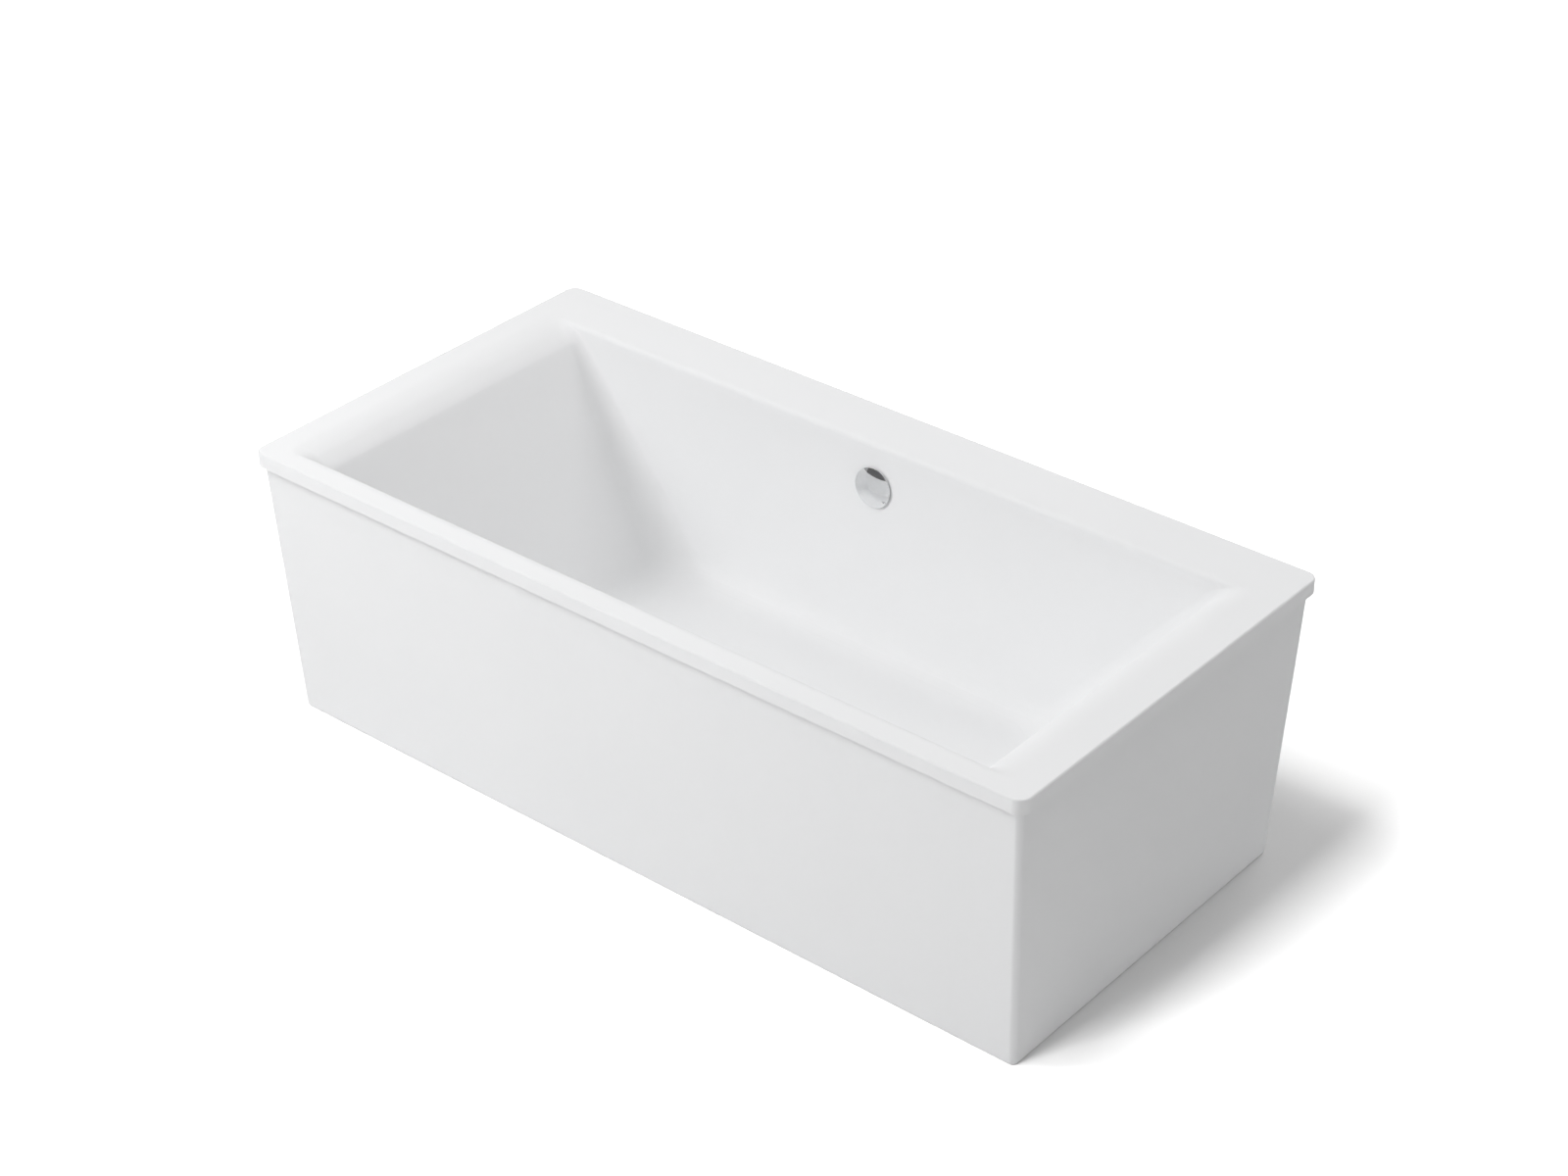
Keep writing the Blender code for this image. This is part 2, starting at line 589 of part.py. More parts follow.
def build_trap(spot):
    """Trap cup round the waste body's dip pipe, with a side outlet and its nut."""
    cup = revolve("trap", rod_profile(0.0470, 0.008, 0.0532, 0.002), 32, "white_plastic", spot)
    level = (0, 0, OUTLET_Z)
    right = (0, 90, 0)
    outlet = revolve("outlet", rod_profile(0.0182, 0.030, 0.100), 24, "white_plastic", spot, level,
                     right)
    combine(cup, [outlet], "UNION")
    inside = revolve("inside", rod_profile(0.0445, 0.011, 0.0502, 0.001), 32, "white_plastic", spot)
    mouth = revolve("mouth", rod_profile(0.0291, 0.045, 0.06), 32, "white_plastic", spot)
    channel = revolve("channel", rod_profile(0.0158, 0.030, 0.12), 24, "white_plastic", spot, level,
                      right)
    combine(cup, [inside, mouth, channel], "DIFFERENCE")
    nut = [(0.0186, 0.078), (0.0235, 0.078), (0.0245, 0.081), (0.0245, 0.096), (0.0186, 0.096)]
    revolve("outlet_nut", nut, 24, "grey_plastic", spot, level, right)


def build():
    """Build every piece of the bath."""
    for obj in list(bpy.data.objects):
        bpy.data.objects.remove(obj)
    overflow = anchor("overflow", overflow_origin(), 90 - SIDE_SLOPE)
    waste = anchor("waste", (0, BASIN_Y, 0))
    build_shell(overflow)
    build_skirt()
    build_battens()
    build_carrier()
    for x_name, x in (("left", -CROSS_X), ("right", CROSS_X)):
        for y_name, side in (("front", -1), ("back", 1)):
            build_foot(f"foot_{y_name}_{x_name}", x, side * FOOT_Y)
            build_bracket(f"{y_name}_{x_name}", x, side)
    build_overflow(overflow)
    build_lines(overflow)
    build_waste(waste)
    build_plug(waste)
    build_lever(waste)
    build_trap(waste)


build()
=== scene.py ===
"""Looks of the freestanding bathtub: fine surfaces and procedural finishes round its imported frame."""
import json
import math

import bmesh
import bpy
from mathutils import Matrix, Vector


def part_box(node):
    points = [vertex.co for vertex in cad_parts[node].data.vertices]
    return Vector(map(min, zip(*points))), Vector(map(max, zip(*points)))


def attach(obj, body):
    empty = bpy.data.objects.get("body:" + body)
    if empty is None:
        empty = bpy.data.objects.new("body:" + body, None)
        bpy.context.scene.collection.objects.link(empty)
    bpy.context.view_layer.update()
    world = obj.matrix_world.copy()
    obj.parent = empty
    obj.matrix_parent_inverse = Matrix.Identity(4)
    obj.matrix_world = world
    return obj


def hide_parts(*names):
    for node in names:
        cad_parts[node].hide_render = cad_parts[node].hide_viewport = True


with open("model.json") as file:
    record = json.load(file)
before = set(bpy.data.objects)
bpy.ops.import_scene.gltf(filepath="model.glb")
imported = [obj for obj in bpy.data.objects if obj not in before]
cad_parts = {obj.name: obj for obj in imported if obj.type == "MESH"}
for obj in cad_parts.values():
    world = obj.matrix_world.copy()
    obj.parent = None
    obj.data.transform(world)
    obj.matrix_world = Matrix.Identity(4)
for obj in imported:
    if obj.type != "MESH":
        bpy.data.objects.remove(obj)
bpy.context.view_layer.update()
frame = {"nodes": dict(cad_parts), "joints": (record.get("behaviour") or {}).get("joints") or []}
NODES = frame["nodes"]
JOINTS = {joint["name"]: joint for joint in frame["joints"]}

# Outline of the bath, as in its CAD source
RIM_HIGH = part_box("tub_shell")[1]
HALF_LENGTH, HALF_WIDTH, HEIGHT = RIM_HIGH.x, RIM_HIGH.y, RIM_HIGH.z
RIM_DROP, RIM_ROUND, RIM_CORNER, SHELL = 0.030, 0.004, 0.025, 0.006
END_EDGE, BACK_EDGE, FRONT_EDGE = 0.845, 0.329, -0.407
END_WALL = (0.100, 36.5, 0.100)      # roll, slope in degrees, fillet
SIDE_WALL = (0.012, 4.0, 0.060)
CORNER_TOP, CORNER_FLOOR = 0.022, 0.080
FLOOR_Z, DRAIN_Z, RECESS_Z, PAD_Z = 0.150, 0.146, 0.143, 0.139
RECESS, DRAIN_HOLE, PAD_INSET = 0.0370, 0.0262, 0.015
BASIN_Y = JOINTS["lever_swing"]["pos_m"][1]
SKIRT_TOP_INSET, SKIRT_END_INSET, SKIRT_SIDE_INSET = 0.012, 0.028, 0.050
SKIRT_WALL, SKIRT_CORNER, SKIRT_RETURN = 0.004, 0.012, 0.028
SKIRT_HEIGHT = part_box("skirt")[1].z
OVERFLOW_BORE = 0.0265

# Levelling feet: threaded rod and its hexagon nuts
ROD_RADIUS, ROD_CORE, ROD_PITCH = 0.00598, 0.0052, 0.00175
NUT_FLATS, NUT_BORE = 0.019, 0.0061

# Mesh density
CORNER_STEPS, LONG_STEPS, SHORT_STEPS = 14, 40, 20

# Camera, lamps and stage
CAMERA_SPOT = (3.3048, -3.9715, 3.6548)
CAMERA_DOWN, CAMERA_AROUND, FOCAL_LENGTH = 32.01, 39.47, 75.1
LAMP_AIM, LAMP_DISTANCE = (0, 0, 0.3), 5.0
SHEET_HALF = 20.0
BACKDROP_RADIUS, BACKDROP_DEPTH = 19.0, 24.0
GLOW_FROM, GLOW_FULL = 1.2, 1.6      # distance from the origin where the seen floor turns white
CARD_SPOT, CARD_WIDEN, CARD_HALF = (-0.75, -1.15, 1.13), 1.6, 0.5


# ---------------------------------------------------------------- frames and mesh helpers

def axis_frame(origin, z_axis):
    """Matrix with its Z along the given axis and its X along the bath."""
    z = Vector(z_axis).normalized()
    x = Vector((1, 0, 0))
    y = z.cross(x)
    matrix = Matrix((x, y, z)).transposed().to_4x4()
    matrix.translation = Vector(origin)
    return matrix


OVERFLOW = axis_frame(JOINTS["knob_turn"]["pos_m"], JOINTS["knob_turn"]["axis"])
WASTE = Matrix.Translation((0, BASIN_Y, 0))
LEVEL_X = Matrix.Rotation(math.radians(90), 4, "Y")


def piece(name, work, materials, body, nodes, matrix=None, sharp=32, weighted=False):
    """Turn a bmesh into a shown piece that rides on a body and stands for CAD nodes."""
    bmesh.ops.remove_doubles(work, verts=work.verts, dist=1e-6)
    bmesh.ops.recalc_face_normals(work, faces=work.faces)
    mesh = bpy.data.meshes.new(name)
    work.to_mesh(mesh)
    work.free()
    if matrix is not None:
        mesh.transform(matrix)
    for material in materials:
        mesh.materials.append(material)
    mesh.shade_smooth()
    mesh.set_sharp_from_angle(angle=math.radians(sharp))
    obj = bpy.data.objects.new(name, mesh)
    bpy.context.scene.collection.objects.link(obj)
    if weighted:
        weight = obj.modifiers.new("normals", "WEIGHTED_NORMAL")
        weight.keep_sharp = True
        weight.weight = 80
    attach(obj, body)
    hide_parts(*nodes)
    return obj


def skin(rings, closed):
    """Bmesh of quads between equal rings; closed joins the last ring to the first."""
    work = bmesh.new()
    layer = ring_layer(work)
    made = [[work.verts.new(point) for point in ring] for ring in rings]
    pairs = list(zip(made, made[1:]))
    if closed:
        pairs.append((made[-1], made[0]))
    for index, (low, high) in enumerate(pairs):
        for j in range(len(low)):
            k = (j + 1) % len(low)
            face = work.faces.new((low[j], low[k], high[k], high[j]))
            face[layer] = index
    return work


def ring_layer(work):
    """Face layer that keeps which pair of rings a face came from."""
    return work.faces.layers.int.get("ring") or work.faces.layers.int.new("ring")


def soften(profile, radius, steps=4):
    """Round the corners of a (radius, height) outline, apart from those on the axis."""
    closed = profile[0][0] > 0
    points = [Vector(point) for point in profile]
    result = []
    for i, corner in enumerate(points):
        if corner.x == 0 or (not closed and i in (0, len(points) - 1)):
            result.append(corner)
            continue
        before, after = points[i - 1] - corner, points[(i + 1) % len(points)] - corner
        if before.length < 1e-7 or after.length < 1e-7 or before.angle(after) > math.radians(172):
            result.append(corner)
            continue
        cut = min(radius, 0.45 * before.length, 0.45 * after.length)
        start, end = corner + before.normalized() * cut, corner + after.normalized() * cut
        for j in range(steps + 1):
            t = j / steps
            result.append(start * (1 - t) ** 2 + corner * 2 * t * (1 - t) + end * t * t)
    return [(point.x, point.y) for point in result]


def lathe(profile, sides, wobble=None):
    """Bmesh of a (radius, height) outline turned round Z; wobble scales a radius by its angle."""
    work = bmesh.new()
    columns = []
    for i in range(sides):
        angle = 2 * math.pi * i / sides
        column = []
        for r, z in profile:
            scale = wobble(angle, r, z) if wobble else 1
            column.append(work.verts.new((r * scale * math.cos(angle), r * scale * math.sin(angle), z)))
        columns.append(column)
    count = len(profile)
    spans = count if profile[0][0] > 0 else count - 1
    for i in range(sides):
        left, right = columns[i], columns[(i + 1) % sides]
        for j in range(spans):
            k = (j + 1) % count
            corners = [left[j], right[j], right[k], left[k]]
            if profile[j][0] == 0:
                corners.pop(0)
            elif profile[k][0] == 0:
                corners.pop(2)
            work.faces.new(corners)
    bmesh.ops.remove_doubles(work, verts=[v for c in columns for v in c if v.co.xy.length < 1e-7], dist=1e-6)
    return work


def loose_object(name, work, matrix=None):
    """Plain object from a bmesh, used as a Boolean tool."""
    bmesh.ops.recalc_face_normals(work, faces=work.faces)
    mesh = bpy.data.meshes.new(name)
    work.to_mesh(mesh)
    work.free()
    if matrix is not None:
        mesh.transform(matrix)
    obj = bpy.data.objects.new(name, mesh)
    bpy.context.scene.collection.objects.link(obj)
    return obj


def boolean(work, tools, operation):
    """Bmesh after exact Boolean operations with tool objects, which are deleted."""
    base = loose_object("base", work)
    for tool in tools:
        step = base.modifiers.new(operation, "BOOLEAN")
        step.operation = operation
        step.solver = "EXACT"
        step.object = tool
    bpy.context.view_layer.update()
    done = base.evaluated_get(bpy.context.evaluated_depsgraph_get()).to_mesh()
    result = bmesh.new()
    result.from_mesh(done)
    for obj in [base] + tools:
        bpy.data.objects.remove(obj)
    return result


# ---------------------------------------------------------------- procedural finishes

class Finish:
    """A Principled material whose colour, roughness and bump come from nodes in object space."""

    def __init__(self, name, **fixed):
        self.material = bpy.data.materials.new(name)
        self.material.use_nodes = True
        self.tree = self.material.node_tree
        self.shader = self.tree.nodes["Principled BSDF"]
        for socket, value in fixed.items():
            self.shader.inputs[socket.replace("_", " ").title().replace("Ior", "IOR")].default_value = value
        self.coords = self.tree.nodes.new("ShaderNodeTexCoord").outputs["Object"]
        self.height = None

    def node(self, kind, inputs=(), **settings):
        """New node with settings and with input values or links given by name or number."""
        made = self.tree.nodes.new(kind)
        for key, value in settings.items():
            setattr(made, key, value)
        for key, value in dict(inputs).items():
            if isinstance(value, bpy.types.NodeSocket):
                self.tree.links.new(value, made.inputs[key])
            else:
                made.inputs[key].default_value = value
        return made

    def scaled(self, scale):
        """Object coordinates stretched by a factor on each axis."""
        return self.node("ShaderNodeMapping", {0: self.coords, 3: scale}).outputs[0]

    def noise(self, scale, detail=3.0, rough=0.5, stretch=(1, 1, 1), distortion=0.0):
        """Noise value from 0 to 1."""
        vector = self.scaled(stretch)
        inputs = {"Vector": vector, "Scale": scale, "Detail": detail, "Roughness": rough,
                  "Distortion": distortion}
        return self.node("ShaderNodeTexNoise", inputs).outputs[0]

    def cells(self, scale, stretch=(1, 1, 1)):
        """Voronoi node, for chips, spangle and knots."""
        inputs = {"Vector": self.scaled(stretch), "Scale": scale}
        return self.node("ShaderNodeTexVoronoi", inputs, feature="F1")

    def ramp(self, value, stops):
        """Colour ramp over a value; stops are (place, colour)."""
        made = self.node("ShaderNodeValToRGB", {0: value})
        line = made.color_ramp.elements
        while len(line) < len(stops):
            line.new(0.5)
        for element, (place, colour) in zip(line, stops):
            element.position = place
            element.color = (*colour, 1)
        return made.outputs[0]

    def spread(self, value, low, high, start=0.3, end=0.7):
        """Value remapped from start..end to low..high."""
        inputs = {0: value, 1: start, 2: end, 3: low, 4: high}
        return self.node("ShaderNodeMapRange", inputs).outputs[0]

    def mix(self, factor, a, b):
        """Two colours mixed by a factor."""
        made = self.node("ShaderNodeMix", {0: factor}, data_type="RGBA")
        for key, value in ((6, a), (7, b)):
            if isinstance(value, bpy.types.NodeSocket):
                self.tree.links.new(value, made.inputs[key])
            else:
                made.inputs[key].default_value = (*value, 1)
        return made.outputs[2]

    def math(self, operation, a, b):
        """Result of a math node."""
        return self.node("ShaderNodeMath", {0: a, 1: b}, operation=operation).outputs[0]

    def colour(self, value):
        """Drive the base colour."""
        self.tree.links.new(value, self.shader.inputs["Base Color"])
        return self

    def roughness(self, value):
        """Drive the roughness."""
        self.tree.links.new(value, self.shader.inputs["Roughness"])
        return self

    def bump(self, value, depth):
        """Add a bump of a depth in metres on top of the bumps so far."""
        made = self.node("ShaderNodeBump", {"Height": value, "Distance": depth, "Strength": 1.0})
        if self.height is not None:
            self.tree.links.new(self.height, made.inputs["Normal"])
        self.height = made.outputs[0]
        self.tree.links.new(self.height, self.shader.inputs["Normal"])
        return self


def acrylic(name, bright, dim, low, high, ripple):
    """Vacuum-formed sanitary acrylic: faint cloudiness, slow ripple and a fine peel."""
    made = Finish(name, specular_ior_level=0.4)
    cloud = made.noise(2.2, 2.0)
    made.colour(made.mix(made.spread(cloud, 0.0, 1.0), dim, bright))
    made.roughness(made.spread(made.noise(9.0, 4.0, 0.6), low, high))
    made.bump(made.noise(5.0, 1.0), ripple)
    made.bump(made.noise(260.0, 2.0), 0.000004)
    return made.material


def laminate():
    """Rough glass-fibre backing: milky resin with strands lying in all directions."""
    made = Finish("laminate", specular_ior_level=0.35)
    strands = made.noise(60.0, 2.0, 0.6, (1, 9, 2), 0.6)
    crossed = made.noise(60.0, 2.0, 0.6, (9, 1, 2), 0.6)
    both = made.math("MAXIMUM", strands, crossed)
    made.colour(made.ramp(both, ((0.45, (0.56, 0.55, 0.49)), (0.62, (0.76, 0.76, 0.70)),
                                 (0.75, (0.85, 0.85, 0.80)))))
    made.roughness(made.spread(both, 0.45, 0.85))
    made.bump(both, 0.0009)
    made.bump(made.noise(18.0, 3.0), 0.0025)
    return made.material


def chrome():
    """Polished plate: nearly clean, with the faintest haze."""
    made = Finish("chrome", metallic=1.0)
    haze = made.noise(55.0, 4.0, 0.65)
    made.colour(made.mix(made.spread(haze, 0.0, 1.0), (0.84, 0.85, 0.86), (0.90, 0.905, 0.91)))
    made.roughness(made.spread(haze, 0.025, 0.055))
    made.bump(made.noise(12.0, 1.0), 0.00002)
    return made.material


def galvanised():
    """Galvanised tube: spangle, streaks along the drawn length and a dull film."""
    made = Finish("zinc_steel", metallic=1.0)
    spangle = made.cells(130.0)
    tone = made.node("ShaderNodeSeparateColor", {0: spangle.outputs["Color"]}).outputs[0]
    film = made.noise(14.0, 5.0, 0.6)
    shade = made.mix(made.spread(tone, 0.0, 1.0, 0.0, 1.0), (0.50, 0.52, 0.54), (0.68, 0.70, 0.72))
    made.colour(made.mix(made.spread(film, 0.0, 0.5), shade, (0.60, 0.60, 0.59)))
    made.roughness(made.math("ADD", made.spread(tone, 0.24, 0.40, 0.0, 1.0), made.spread(film, 0.0, 0.15)))
    made.bump(tone, 0.00004)
    made.bump(made.noise(900.0, 2.0), 0.00003)
    return made.material


def plated():
    """Zinc-plated fastener: bright passivation with a bluish and a yellowish cast."""
    made = Finish("zinc_fastener", metallic=1.0)
    cast = made.noise(90.0, 3.0)
    made.colour(made.ramp(cast, ((0.3, (0.62, 0.66, 0.72)), (0.5, (0.70, 0.70, 0.68)),
                                 (0.7, (0.74, 0.70, 0.58)))))
    made.roughness(made.spread(made.noise(300.0, 4.0), 0.22, 0.38))
    made.bump(made.noise(1500.0, 2.0), 0.00002)
    return made.material


def softwood(name, along):
    """Planed pine: growth rings stretched along the batten, pores, and a few knots."""
    made = Finish(name, specular_ior_level=0.3)
    stretch = (0.04, 1, 1) if along == "x" else (1, 0.04, 1)
    rings = made.noise(160.0, 4.0, 0.55, stretch, 0.8)
    fine = made.noise(900.0, 3.0, 0.6, stretch)
    knots = made.cells(5.0).outputs["Distance"]
    wood = made.ramp(rings, ((0.30, (0.44, 0.27, 0.12)), (0.48, (0.66, 0.46, 0.25)),
                             (0.70, (0.76, 0.58, 0.36))))
    wood = made.mix(made.spread(fine, 0.0, 0.35), wood, (0.48, 0.31, 0.16))
    made.colour(made.mix(made.spread(knots, 0.75, 0.0, 0.02, 0.07), wood, (0.24, 0.12, 0.05)))
    made.roughness(made.spread(rings, 0.55, 0.78))
    made.bump(rings, 0.0003)
    made.bump(fine, 0.00015)
    return made.material


def chips():
    """Raw chipboard: pressed flakes of mixed tones with small gaps between them."""
    made = Finish("chipboard", specular_ior_level=0.25)
    big = made.cells(260.0, (1, 0.45, 1.6))
    small = made.cells(700.0, (0.6, 1, 1.6))
    tone = made.node("ShaderNodeSeparateColor", {0: big.outputs["Color"]}).outputs[0]
    dust = made.node("ShaderNodeSeparateColor", {0: small.outputs["Color"]}).outputs[1]
    flake = made.ramp(tone, ((0.0, (0.30, 0.20, 0.10)), (0.35, (0.52, 0.38, 0.22)),
                             (0.7, (0.66, 0.51, 0.32)), (1.0, (0.76, 0.63, 0.43))))
    made.colour(made.mix(made.spread(dust, 0.0, 0.5, 0.2, 1.0), flake, (0.44, 0.32, 0.19)))
    made.roughness(made.spread(tone, 0.70, 0.90, 0.0, 1.0))
    made.bump(big.outputs["Distance"], 0.0006)
    made.bump(dust, 0.00025)
    return made.material


def rubber(name, shade, grain):
    """Moulded rubber or black plastic: dark, a little mottled, with a fine grain."""
    made = Finish(name, specular_ior_level=0.4)
    bloom = made.noise(70.0, 4.0, 0.6)
    lighter = tuple(channel * 1.9 + 0.008 for channel in shade)
    made.colour(made.mix(made.spread(bloom, 0.0, 1.0), shade, lighter))
    made.roughness(made.spread(bloom, 0.5, 0.8))
    made.bump(made.noise(grain, 2.0), 0.00006)
    return made.material


def plastic(name, pale, dark):
    """Injection-moulded plastic: flow clouds, spark-eroded grain and slight sink."""
    made = Finish(name, specular_ior_level=0.5)
    flow = made.noise(24.0, 3.0, 0.55, (1, 1, 2.5), 0.7)
    made.colour(made.mix(made.spread(flow, 0.0, 1.0), dark, pale))
    made.roughness(made.spread(flow, 0.32, 0.48))
    made.bump(made.noise(620.0, 2.0), 0.00005)
    made.bump(made.noise(35.0, 1.0), 0.0001)
    return made.material


def turned_brass():
    """Brass bar: fine tool rings across its length and a slight tarnish."""
    made = Finish("brass", metallic=1.0)
    rings = made.noise(500.0, 2.0, 0.5, (0.3, 0.3, 6.0))
    tarnish = made.noise(80.0, 4.0, 0.6)
    made.colour(made.mix(made.spread(tarnish, 0.0, 1.0), (0.60, 0.42, 0.17), (0.80, 0.62, 0.30)))
    made.roughness(made.spread(rings, 0.18, 0.36))
    made.bump(rings, 0.00003)
    return made.material


WHITE = acrylic("white_acrylic", (0.890, 0.893, 0.898), (0.878, 0.882, 0.888), 0.34, 0.40, 0.0001)
SKIRT = acrylic("skirt_acrylic", (0.885, 0.889, 0.895), (0.873, 0.878, 0.885), 0.38, 0.46, 0.0001)
LAMINATE = laminate()
CHROME = chrome()
ZINC = galvanised()
PLATED = plated()
PINE_X, PINE_Y = softwood("pine_long", "x"), softwood("pine_cross", "y")
CHIPS = chips()
RUBBER = rubber("black_rubber", (0.012, 0.012, 0.013), 700.0)
SHEATH = rubber("cable_sheath", (0.016, 0.016, 0.017), 1400.0)
NYLON = rubber("black_nylon", (0.018, 0.018, 0.020), 500.0)
WHITE_PLASTIC = plastic("white_plastic", (0.82, 0.82, 0.80), (0.76, 0.76, 0.73))
GREY_PLASTIC = plastic("grey_plastic", (0.47, 0.48, 0.49), (0.40, 0.41, 0.42))
BRASS = turned_brass()


# ---------------------------------------------------------------- shell and skirt

def rounded_ring(half_x, low_y, high_y, radius, z):
    """Rounded rectangle with points along its straights, at one height."""
    corners = ((half_x, high_y, 0), (-half_x, high_y, 90), (-half_x, low_y, 180), (half_x, low_y, 270))
    arcs = []
    for x, y, start in corners:
        centre_x = x - math.copysign(radius, x)
        centre_y = y - radius if start < 180 else y + radius
        arc = []
        for i in range(CORNER_STEPS + 1):
            angle = math.radians(start + 90 * i / CORNER_STEPS)
            arc.append((centre_x + radius * math.cos(angle), centre_y + radius * math.sin(angle)))
        arcs.append(arc)
    points = []
    for k, arc in enumerate(arcs):
        points += arc
        (x0, y0), (x1, y1) = arc[-1], arcs[(k + 1) % 4][0]
        steps = LONG_STEPS if k % 2 == 0 else SHORT_STEPS
        points += [(x0 + (x1 - x0) * i / steps, y0 + (y1 - y0) * i / steps) for i in range(1, steps)]
    return [(x, y, z) for x, y in points]


def inward(depth, total, wall):
    """How far a wall has moved in from the deck edge at a depth below the deck."""
    roll, slope, fillet = wall
    turn = math.radians(90 - slope)
    first = roll * (1 - math.cos(turn))
    last = total - fillet * (1 - math.cos(turn))
    lean = math.tan(math.radians(slope))
    if depth <= first:
        return math.sqrt(depth * (2 * roll - depth))
    if depth <= last:
        return roll * math.sin(turn) + (depth - first) * lean
    height = max(total - depth, 0)
    foot = roll * math.sin(turn) + (last - first) * lean
    return foot + fillet * math.sin(turn) - math.sqrt(height * (2 * fillet - height))


def basin_depths(total, offset, steps):
    """Depths of the rings: close on the rolls and fillets, wider on the straight walls."""
    depths = {total * i / 14 for i in range(15)}
    for roll, slope, fillet in (END_WALL, SIDE_WALL):
        for i in range(1, steps + 1):
            turn = math.radians(90 - slope) * i / steps
            depths.add((roll - offset) * (1 - math.cos(turn)))
            depths.add(total - (fillet + offset) * (1 - math.cos(turn)))
    kept = []
    for depth in sorted(depths):
        if not kept or depth - kept[-1] > 0.00025:
            kept.append(depth)
    kept[-1] = total
    return kept


def basin_rings(offset, steps):
    """Rings of the basin skin from the deck edge to the floor; offset is the shell thickness."""
    total = HEIGHT - FLOOR_Z
    shifted = [(roll - offset, slope, fillet + offset) for roll, slope, fillet in (END_WALL, SIDE_WALL)]
    rings = []
    for depth in basin_depths(total, offset, steps):
        end, side = (inward(depth, total, wall) for wall in shifted)
        radius = CORNER_TOP + (CORNER_FLOOR - CORNER_TOP) * depth / total + offset
        rings.append(rounded_ring(END_EDGE - end, FRONT_EDGE + side, BACK_EDGE - side, radius,
                                  HEIGHT - offset - depth))
    return rings


def drain_ring(ring, radius, z):
    """Circle round the drain whose points face those of a ring."""
    result = []
    for x, y, _ in ring:
        out = Vector((x, y - BASIN_Y)).normalized() * radius
        result.append((out.x, out.y + BASIN_Y, z))
    return result


def between(a, b, count):
    """Rings evenly spaced between two rings, without those two."""
    rings = []
    for i in range(1, count + 1):
        t = i / (count + 1)
        rings.append([tuple(p + (q - p) * t for p, q in zip(u, v)) for u, v in zip(a, b)])
    return rings


def rim_ring(inset, z):
    """Ring parallel to the outer rim."""
    return rounded_ring(HALF_LENGTH - inset, -HALF_WIDTH + inset, HALF_WIDTH - inset, RIM_CORNER - inset, z)


def shell():
    """Rim, deck, basin, drain recess and laminated back in one closed skin."""
    low = HEIGHT - RIM_DROP
    lip = 0.0010
    rings = [rim_ring(lip, low), rim_ring(lip * 0.3, low + lip * 0.3), rim_ring(0, low + lip)]
    for i in range(9):
        angle = math.radians(90 * i / 8)
        rings.append(rim_ring(RIM_ROUND * (1 - math.cos(angle)), HEIGHT - RIM_ROUND * (1 - math.sin(angle))))
    rings.append(rim_ring(RIM_ROUND + 0.003, HEIGHT))
    inner = basin_rings(0, 10)
    brink = 0.004
    rings.append(rounded_ring(END_EDGE + brink, FRONT_EDGE - brink, BACK_EDGE + brink, CORNER_TOP + brink,
                              HEIGHT))
    rings += inner
    floor = inner[-1]
    edge = 0.0020
    top = drain_ring(floor, RECESS + edge, DRAIN_Z)
    rings += between(floor, top, 7) + [top]
    for i in range(1, 5):
        angle = math.radians(90 * i / 4)
        rings.append(drain_ring(floor, RECESS + edge * (1 - math.sin(angle)),
                                DRAIN_Z - edge * (1 - math.cos(angle))))
    for radius, z in ((RECESS, RECESS_Z), (DRAIN_HOLE + 0.0006, RECESS_Z), (DRAIN_HOLE, RECESS_Z - 0.0006),
                      (DRAIN_HOLE, PAD_Z)):
        rings.append(drain_ring(floor, radius, z))
    white = len(rings)
    under = basin_rings(SHELL, 6)
    half_x = max(point[0] for point in under[-1]) - PAD_INSET
    low_y = min(point[1] for point in under[-1]) + PAD_INSET
    high_y = max(point[1] for point in under[-1]) - PAD_INSET
    rings.append(rounded_ring(half_x, low_y, high_y, CORNER_FLOOR - 0.010, PAD_Z))
    rings += reversed(under)
    rings.append(rim_ring(SHELL, HEIGHT - SHELL))
    rings.append(rim_ring(SHELL, low))
    work = skin(rings, True)
    layer = ring_layer(work)
    for face in work.faces:
        face.material_index = 1 if white <= face[layer] < len(rings) - 2 else 0
    drill = [(0, -0.03), (OVERFLOW_BORE, -0.03), (OVERFLOW_BORE, 0.03), (0, 0.03)]
    work = boolean(work, [loose_object("drill", lathe(drill, 64), OVERFLOW)], "DIFFERENCE")
    return piece("bath_shell", work, [WHITE, LAMINATE], "bath", ["tub_shell"], weighted=True)


def skirt_ring(extra, z, radius):
    """Ring of the drafted skirt at a height, moved in by an extra distance."""
    top = HEIGHT - RIM_DROP
    drop = (top - z) / top
    end = SKIRT_TOP_INSET + (SKIRT_END_INSET - SKIRT_TOP_INSET) * drop + extra
    side = SKIRT_TOP_INSET + (SKIRT_SIDE_INSET - SKIRT_TOP_INSET) * drop + extra
    return rounded_ring(HALF_LENGTH - end, -HALF_WIDTH + side, HALF_WIDTH - side, radius, z)


